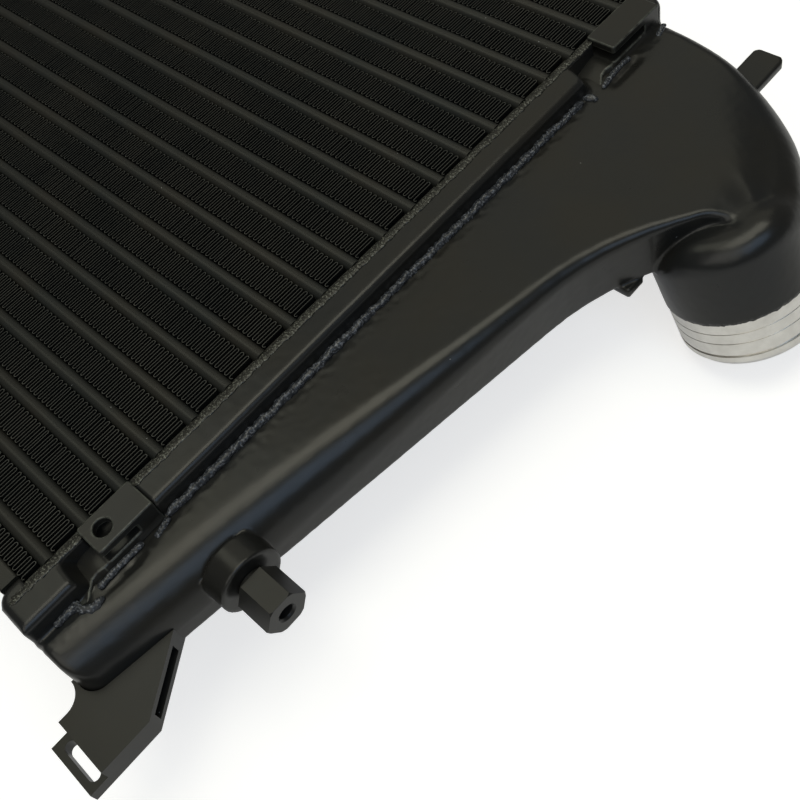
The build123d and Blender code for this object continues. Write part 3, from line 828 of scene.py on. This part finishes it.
def cast_texture(points):
    """Height of the sand-cast surface: rough in the recess at the strip, with a trough at
    each lug."""
    x, y, _ = points.T
    recess = 1 - smooth_step(0, RECESS_REACH, np.abs(x - RECESS_X))
    height = 0.04 * noise(points, 2.6) + 0.05 * noise(points, 14.0)
    height += recess * (0.20 * noise(points + 50, 2.2) + 0.12 * noise(points + 90, 5.0))
    for name in LUGS:
        free, _ = lug_span(name)
        beside = 1 - smooth_step(6, 15, np.abs(y - free))
        height -= TROUGH_DEPTH * beside * np.exp(-((x - TROUGH_X) / TROUGH_WIDTH) ** 2)
    return height


def add_tanks():
    """One surface for each tank, textured except where it meets the core."""
    points, faces = surface_points(tank_distance, TANK_LOW, TANK_HIGH, TANK_STEP)
    points, normals = settle(tank_distance, points)
    free = smooth_step(0, 2, points[:, 0] - FLANGE_INNER)
    points = points + normals * (cast_texture(points) * free)[:, None]
    for side_name, side in SIDES:
        name = f"cast_tank_{side_name}"
        piece = add_part(name, points, faces, side, CAST_PAINT)
        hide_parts(f"end_tank_{side_name}")


add_tanks()


# ---- weld beads and other runs swept along a path ----------------------------------------
def along_path(corners, step):
    """Points a step apart along straight runs, with the distance to each."""
    corners = np.array(corners, float)
    lengths = np.r_[0, np.cumsum(np.linalg.norm(np.diff(corners, axis=0), axis=1))]
    distance = np.arange(0, lengths[-1], step)
    points = np.column_stack([np.interp(distance, lengths, corners[:, k]) for k in range(3)])
    return points, distance


def grid_faces(rows, columns, closed=False):
    """Quads over a grid of points; closed joins the last column to the first."""
    number = np.arange(rows * columns).reshape(rows, columns)
    if closed:
        number = np.column_stack([number, number[:, 0]])
    ring = (number[:-1, :-1], number[:-1, 1:], number[1:, 1:], number[1:, :-1])
    return np.column_stack([corner.ravel() for corner in ring])


def unit_rows(vectors):
    return vectors / np.linalg.norm(vectors, axis=1)[:, None]


def run_ends(distance, reach):
    """1 along a run, falling to 0 over that reach at its ends."""
    return np.sqrt(np.clip(np.minimum(distance, distance[-1] - distance) / reach, 0, 1))


BEAD_STEP = 0.45
BEAD_SINK = 0.25
RIDGE_STEP = 0.6


def weld_bead(corners, up, half_width, height, pitch, seed):
    """Bead with ripples laid along a path on a surface that faces up."""
    middle, distance = along_path(corners, BEAD_STEP)
    tangent = unit_rows(np.gradient(middle, axis=0))
    up = np.array(up, float) / np.linalg.norm(up)
    across = np.cross(tangent, up)
    random = np.random.default_rng(seed)
    knots = np.arange(0, distance[-1] + 2 * pitch, pitch)
    width_there = np.interp(distance, knots, random.uniform(0.82, 1.15, len(knots)))
    lift_there = np.interp(distance, knots, random.uniform(0.8, 1.2, len(knots)))
    ends = run_ends(distance, half_width)
    angles = np.linspace(0, math.pi, 15)
    side = np.cos(angles)
    phase = (distance[:, None] / pitch + 0.55 * np.sin(angles) + 0.25 * lift_there[:, None]) % 1
    ripple = 1 - 0.42 * phase ** 2
    reach = half_width * width_there * (0.35 + 0.65 * ends)
    rise = (height * lift_there * ends)[:, None] * np.sin(angles) * ripple - BEAD_SINK
    points = (
        middle[:, None, :]
        + across[:, None, :] * (reach[:, None] * side)[:, :, None]
        + up * rise[:, :, None]
    )
    rough = noise(points.reshape(-1, 3) + seed, 1.4).reshape(rise.shape)
    points += up * (0.10 * rough)[:, :, None]
    return points.reshape(-1, 3), grid_faces(len(middle), len(angles))


def rough_ridge(corners, radius, seed):
    """Lumpy rope of weld along a path."""
    middle, distance = along_path(corners, RIDGE_STEP)
    tangent = unit_rows(np.gradient(middle, axis=0))
    across = unit_rows(np.cross(tangent, (0, 0, 1)))
    up = np.cross(across, tangent)
    angles = np.linspace(0, 2 * math.pi, 18, endpoint=False)
    ends = run_ends(distance, 3)
    ring = across[:, None, :] * np.cos(angles)[:, None] + up[:, None, :] * np.sin(angles)[:, None]
    plain = (middle[:, None, :] + radius * ring).reshape(-1, 3)
    lumps = 0.55 * noise(plain + seed, 1.5) + 0.45 * noise(plain + 2 * seed, 4.0)
    lumps = lumps.reshape(len(middle), -1) * ends[:, None]
    reach = (radius * (0.3 + 0.7 * ends))[:, None] + lumps
    points = middle[:, None, :] + reach[:, :, None] * ring
    return points.reshape(-1, 3), grid_faces(len(middle), len(angles), closed=True)


def joined(meshes):
    """One mesh from several of (points, faces)."""
    shifts = np.cumsum([0] + [len(points) for points, _ in meshes[:-1]])
    points = np.vstack([points for points, _ in meshes])
    return points, np.vstack([faces + shift for (_, faces), shift in zip(meshes, shifts)])


BEAD_X = 4.3
RIDGE_X = 19.9
RIDGE_Z = -9.8


def flange_beads():
    """Bead along the flange's inner edge, broken where the lugs stand."""
    narrow_free, narrow_closed = lug_span("narrow")
    outlet_free, outlet_closed = lug_span("outlet")
    runs = (
        (NARROW_END + 3.0, narrow_free + 0.3),
        (narrow_closed - 0.3, outlet_free + 0.3),
        (outlet_closed - 0.3, OUTLET_END - 2.5),
    )
    beads = []
    for k, (start, end) in enumerate(runs):
        path = [(BEAD_X, start, -0.2), (BEAD_X, end, -0.2)]
        beads.append(weld_bead(path, (-0.25, 0, 1), 2.4, 0.95, 2.0, seed=11 + k))
    return beads


def foot_ridges():
    """Rough ridges at the foot of the strip's outer wall. The first wraps round a ramp's
    mouth, and the last is a short one across the long ridge's end."""
    narrow_free, narrow_closed = lug_span("narrow")
    outlet_free, _ = lug_span("outlet")
    mouth = ((19.2, -19.2), (23.1, -18.6), (25.7, -16.0), (26.0, -12.8), (25.7, -9.5))
    across_end = ((17.5, -25.5, RIDGE_Z), (22.0, -23.0, RIDGE_Z), (25.5, -21.5, -10.2))
    first = [(RIDGE_X, NARROW_END + 9, RIDGE_Z)]
    first += [(x, narrow_free + along, RIDGE_Z - 0.3) for x, along in mouth]
    long = [(RIDGE_X, narrow_closed + 1, RIDGE_Z), (RIDGE_X, outlet_free - 27, RIDGE_Z)]
    last = [(x, outlet_free + along, z) for x, along, z in across_end]
    return [
        rough_ridge(first, 1.7, seed=21),
        rough_ridge(long, 2.0, seed=31),
        rough_ridge(last, 1.8, seed=37),
    ]


LUG_WELD_PATHS = {
    "narrow": ((21.8, -9.0), (21.2, 0.0), (21.2, 14.4)),
    "outlet": ((22.6, -14.8), (20.9, -4.1), (20.6, 3.4), (21.0, 9.0)),
}


def lug_welds():
    """Short beads where the lugs' feet stand on the tank's body."""
    beads = []
    for k, name in enumerate(LUGS):
        free, closed = lug_span(name)
        path = [(x, free + along, -9.3) for x, along in LUG_WELD_PATHS[name]]
        beads.append(weld_bead(path, (0.5, 0, 1), 1.3, 1.1, 2.1, seed=41 + k))
        end = [(23.5, closed - 8, -9.8), (21.0, closed + 1.5, -9.8)]
        beads.append(weld_bead(end, (0, 0, 1), 1.5, 1.3, 2.3, seed=51 + k))
    return beads


def add_welds():
    kinds = (
        ("flange_bead", joined(flange_beads()), BEAD_PAINT),
        ("strip_ridge", joined(foot_ridges()), RIDGE_PAINT),
        ("lug_welds", joined(lug_welds()), RIDGE_PAINT),
    )
    for side_name, side in SIDES:
        for kind, (points, faces), paint in kinds:
            add_part(f"{kind}_{side_name}", points, faces, side, paint)


add_welds()


# ---- air fins ----------------------------------------------------------------------------
FIN_PITCH = 1.6
FIN_SHEET = 0.32
FIN_TURN_POINTS = 6
FIN_JITTER = 0.07
FIN_DRIFT = 0.16
FIN_DIP = 0.25
FIN_NAMES = sorted(name for name in NODES if name.startswith("air_fin"))


def fin_path(low, high, random):
    """Centre line of a folded ribbon between two tubes, as x and y."""
    legs = int((high[0] - low[0] - FIN_SHEET) / FIN_PITCH)
    places = low[0] + FIN_SHEET / 2 + FIN_PITCH * (np.arange(legs + 1) + 0.2)
    places[1:-1] += random.normal(0, FIN_JITTER, legs - 1)
    knots = np.linspace(low[0], high[0], 40)
    drift = np.interp(places, knots, random.normal(0, FIN_DRIFT, len(knots)))
    places[1:-1] += drift[1:-1]
    x_parts = []
    y_parts = []
    turn = np.linspace(0, math.pi, FIN_TURN_POINTS)
    for k in range(legs):
        radius = (places[k + 1] - places[k]) / 2
        middle = (places[k + 1] + places[k]) / 2
        rise = radius * np.sin(turn)
        x_parts.append(middle - radius * np.cos(turn))
        if k % 2 == 0:
            y_parts.append(high[1] - FIN_SHEET / 2 - radius + rise)
        else:
            y_parts.append(low[1] + FIN_SHEET / 2 + radius - rise)
    return np.concatenate(x_parts), np.concatenate(y_parts)


def fin_mesh(low, high, seed):
    """Ribbon with its sheet's thickness; its front and back edges are slightly uneven."""
    random = np.random.default_rng(seed)
    x, y = fin_path(low, high, random)
    run = np.hypot(np.gradient(x), np.gradient(y))
    half_x = FIN_SHEET / 2 * (-np.gradient(y) / run)
    half_y = FIN_SHEET / 2 * (np.gradient(x) / run)
    dip = FIN_DIP * np.abs(noise(np.column_stack([x, y, np.full(len(x), seed)]), 2.0))
    front = high[2] - dip
    back = low[2] + dip
    columns = [
        (x - half_x, y - half_y, back),
        (x - half_x, y - half_y, front),
        (x + half_x, y + half_y, front),
        (x + half_x, y + half_y, back),
    ]
    points = np.stack([np.column_stack(column) for column in columns], axis=1).reshape(-1, 3)
    return points, grid_faces(len(x), 4, closed=True)


def add_fins():
    """A ribbon in each row; the faces at its front edge get a far lighter copy of the black paint,
    a painted highlight, and its sides a darker copy, painted shade.
    """
    for k, name in enumerate(FIN_NAMES):
        low, high = node_box(name)
        points, faces = fin_mesh(low, high, 100 + k)
        new_name = name.replace("air_fin", "folded_fin")
        piece = mesh_object(new_name, points * MM, faces, FIN_SHADED_PAINT, smooth=False)
        # Second slot: the lighter copy for the front edge faces, a painted highlight.
        piece.data.materials.append(FIN_EDGE_HIGHLIGHT_PAINT)
        edges = (np.arange(len(faces)) % 4 == 1).astype(np.int32)
        piece.data.polygons.foreach_set("material_index", edges)
        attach(piece, "root")
        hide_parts(name)


add_fins()


# ---- fittings: the CAD solids with their edges broken ------------------------------------
def add_softened(name, new_name, width):
    """Copy of a CAD node with a small round on each sharp edge."""
    source = NODES[name]
    shape = bmesh.new()
    shape.from_mesh(source.data)
    bmesh.ops.transform(shape, matrix=source.matrix_world, verts=shape.verts)
    bmesh.ops.remove_doubles(shape, verts=shape.verts, dist=0.01 * MM)
    bmesh.ops.dissolve_limit(
        shape, angle_limit=math.radians(1), verts=shape.verts, edges=shape.edges, delimit={"NORMAL"}
    )
    least_turn = math.radians(35)
    sharp = [
        edge for edge in shape.edges if edge.is_manifold and edge.calc_face_angle() > least_turn
    ]
    bmesh.ops.bevel(
        shape, geom=sharp, offset=width * MM, offset_type="OFFSET", segments=2, profile=0.5,
        affect="EDGES", clamp_overlap=True, harden_normals=False,
    )
    mesh = bpy.data.meshes.new(new_name)
    shape.to_mesh(mesh)
    shape.free()
    mesh.materials.append(FITTING_PAINT)
    mesh.polygons.foreach_set("use_smooth", np.ones(len(mesh.polygons), bool))
    mesh.set_sharp_from_angle(angle=math.radians(50))
    piece = bpy.data.objects.new(new_name, mesh)
    bpy.context.scene.collection.objects.link(piece)
    flatten = piece.modifiers.new("flat_faces", "WEIGHTED_NORMAL")
    flatten.weight = 100
    flatten.keep_sharp = True
    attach(piece, "root")
    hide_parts(name)


def add_fittings():
    for side_name, _ in SIDES:
        add_softened(f"slotted_foot_{side_name}", f"foot_{side_name}", 0.5)
        add_softened(f"standoff_{side_name}", f"hex_post_{side_name}", 0.25)


add_fittings()


# ---- lugs: plate, slot, block and ramp ---------------------------------------------------
LUG_STEP = 0.45
LUG_PLATE_LOW = -2.5
LUG_BASE_TOP = -7.5
LUG_TOP = 1.5
LUG_BOTTOM = -BODY_DROP - 1
LUG_EDGE = 0.7
LUG_BLEND = 0.8
RAMP_FALL = 3.2
RAMP_FALL_SPAN = (2, 18)
SKIRT_NORMAL = (0.82, 0.57)
LUG_MIDDLE = (LUG_LOW + LUG_HIGH) / 2


def lug_body(name, x, along, z):
    """Plate and block: a slot open at the free end, and a hole in the narrow end's lug."""
    length = LUGS[name][1]
    plan = corner_distance(np.abs(x - LUG_MIDDLE) - (LUG_HIGH - LUG_LOW) / 2, -along, 1.5)
    plan = corner_distance(plan, along - length, 0.5)
    body = layer_distance(plan, z, LUG_TOP, LUG_BOTTOM, LUG_EDGE, 0.4)
    points = np.column_stack([x, along, z])
    slot_high = (40, LUG_SLOTS[name], LUG_PLATE_LOW)
    slot = box_distance(points, (-9, -9, LUG_BASE_TOP), slot_high, 0.6)
    body = smooth_cut(body, slot, LUG_EDGE)
    if name == "narrow":
        hole = np.hypot(x - LUG_MIDDLE, along - LUG_HOLE_INSET) - LUG_HOLE / 2
        body = smooth_cut(body, np.maximum(hole, -z - 5), LUG_EDGE)
    return body


def lug_base(name, x, along, z):
    """The foot under the slot: it slopes out over the body and runs down as a ramp."""
    top = LUG_BASE_TOP - RAMP_FALL * smooth_step(*RAMP_FALL_SPAN, -along)
    edge = np.interp(along, *RAMP_EDGE)
    skirt = (x - edge) * SKIRT_NORMAL[0] + (z - top) * SKIRT_NORMAL[1]
    base = corner_distance(z - top, skirt, 0.5)
    inner = np.where(along < 0, RAMP_INNER - 0.5, LUG_LOW) - x
    ends = np.maximum(along - LUGS[name][1], RAMP_START - along)
    return np.maximum(np.maximum(base, inner), np.maximum(ends, LUG_BOTTOM - z))


def lug_distance(name, points):
    x, y, z = points.T
    along = y - lug_span(name)[0]
    return smooth_union(lug_body(name, x, along, z), lug_base(name, x, along, z), LUG_BLEND)


def add_lugs():
    """Both lugs at each end, their edges lighter: partly paint worn off, partly a painted
    highlight.
    """
    for name in LUGS:
        free, closed = lug_span(name)
        field = functools.partial(lug_distance, name)
        low = (LUG_LOW - 1.5, free + RAMP_START - 1.5, -BODY_DROP - 2.5)
        high = (27.0, closed + 1.5, LUG_TOP + 1.5)
        points, faces = surface_points(field, low, high, LUG_STEP)
        points, _ = settle(field, points)
        for side_name, side in SIDES:
            new_name = f"{name}_end_lug_{side_name}"
            piece = add_part(new_name, points, faces, side, FITTING_PAINT)
            # Edge sharpness sets where the edges turn lighter: worn paint and a painted highlight.
            wear_and_highlight = piece.data.attributes.new("wear_and_highlight", "FLOAT", "POINT")
            wear_and_highlight.data.foreach_set("value", edge_sharpness(field, points))
            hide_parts(f"front_lug_{name}_end_{side_name}")


add_lugs()


# ---- camera ----------------------------------------------------------------------------
CAMERA_PLACE = (0.5728, -0.00115, 0.3401)
CAMERA_RIGHT = Vector((0.71897, 0.66525, -0.20133))
CAMERA_DOWN = Vector((0.46945, -0.67839, -0.56516))
CAMERA_FOCAL_PIXELS = 1052.94
PICTURE_WIDTH = 800
SENSOR_WIDTH = 36.0
HORIZON_SHIFT_PIXELS = -60.0


def add_camera():
    camera = bpy.data.objects.new("camera", bpy.data.cameras.new("camera"))
    bpy.context.scene.collection.objects.link(camera)
    up = -CAMERA_DOWN.normalized()
    right = CAMERA_RIGHT.normalized()
    back = right.cross(up)
    turned = Matrix((right, up, back)).transposed().to_4x4()
    camera.matrix_world = Matrix.Translation(CAMERA_PLACE) @ turned
    camera.data.sensor_width = SENSOR_WIDTH
    camera.data.lens = CAMERA_FOCAL_PIXELS / PICTURE_WIDTH * SENSOR_WIDTH
    camera.data.shift_y = HORIZON_SHIFT_PIXELS / PICTURE_WIDTH
    camera.data.clip_start = 0.01
    bpy.context.scene.camera = camera


add_camera()


# ---- floor, lamps and world ------------------------------------------------------------
FLOOR_SIZE = 8.0
FLOOR_CLEARANCE = 0.0002
FLOOR_COLOUR = (0.6, 0.6, 0.6, 1)
SEEN_GLOW = 0.66
MIRRORED_GLOW = 0.28


def add_floor():
    """White floor: lit like any surface, and lifted to white where it is seen or mirrored."""
    half = FLOOR_SIZE / 2
    z = CAD_LOW[2] - FLOOR_CLEARANCE
    corners = [(-half, -half, z), (half, -half, z), (half, half, z), (-half, half, z)]
    white = Shading("floor_white", 0.0, 0.9)
    white.shader.inputs["Base Color"].default_value = FLOOR_COLOUR
    ray = white.add("ShaderNodeLightPath").outputs
    mirrored = white.math("MAXIMUM", ray["Is Glossy Ray"], ray["Is Transmission Ray"])
    mirrored = white.math("MULTIPLY", mirrored, MIRRORED_GLOW)
    seen = white.math("MULTIPLY", ray["Is Camera Ray"], SEEN_GLOW)
    glow = white.add("ShaderNodeEmission", {"Strength": white.math("ADD", seen, mirrored)})
    total = white.add("ShaderNodeAddShader", {0: white.shader.outputs[0], 1: glow.outputs[0]})
    output = white.tree.nodes["Material Output"]
    white.tree.links.new(total.outputs[0], output.inputs["Surface"])
    floor = mesh_object("floor", corners, [(0, 1, 2, 3)], white.material, smooth=False)


LAMP_AIM = Vector((0.36, 0.15, -0.03))


def add_soft_lamp(name, place, size, radiance, colour):
    """Area lamp that looks as bright as that radiance."""
    lamp = bpy.data.lights.new(name, "AREA")
    lamp.shape = "RECTANGLE"
    lamp.size, lamp.size_y = size
    lamp.energy = radiance * math.pi * size[0] * size[1]
    lamp.color = colour
    holder = bpy.data.objects.new(name, lamp)
    holder.visible_camera = False
    bpy.context.scene.collection.objects.link(holder)
    holder.location = place
    direction = LAMP_AIM - Vector(place)
    holder.rotation_euler = direction.to_track_quat("-Z", "Y").to_euler()


def set_world(colour, strength):
    world = bpy.data.worlds.new("studio")
    world.use_nodes = True
    background = world.node_tree.nodes["Background"]
    background.inputs["Color"].default_value = (*colour, 1)
    background.inputs["Strength"].default_value = strength
    bpy.context.scene.world = world


add_floor()
set_world((1.0, 0.97, 0.93), 0.11)
add_soft_lamp("overhead", (0.36, 0.33, 2.2), (1.1, 1.76), 3.0, (1.0, 0.97, 0.80))
add_soft_lamp("window", (2.0, -0.14, 1.75), (1.2, 1.2), 1.8, (0.52, 0.72, 1.0))
add_soft_lamp("panel_far", (-0.73, 1.53, 1.73), (1.7, 1.7), 0.40, (1.0, 0.97, 0.76))
add_soft_lamp("panel_near", (-0.92, -0.02, 2.04), (1.0, 1.4), 1.15, (1.0, 1.0, 0.80))
add_soft_lamp("front", (1.11, -1.45, 1.75), (2.2, 1.8), 1.2, (1.0, 0.97, 0.88))
bpy.context.scene.view_settings.view_transform = "Standard"
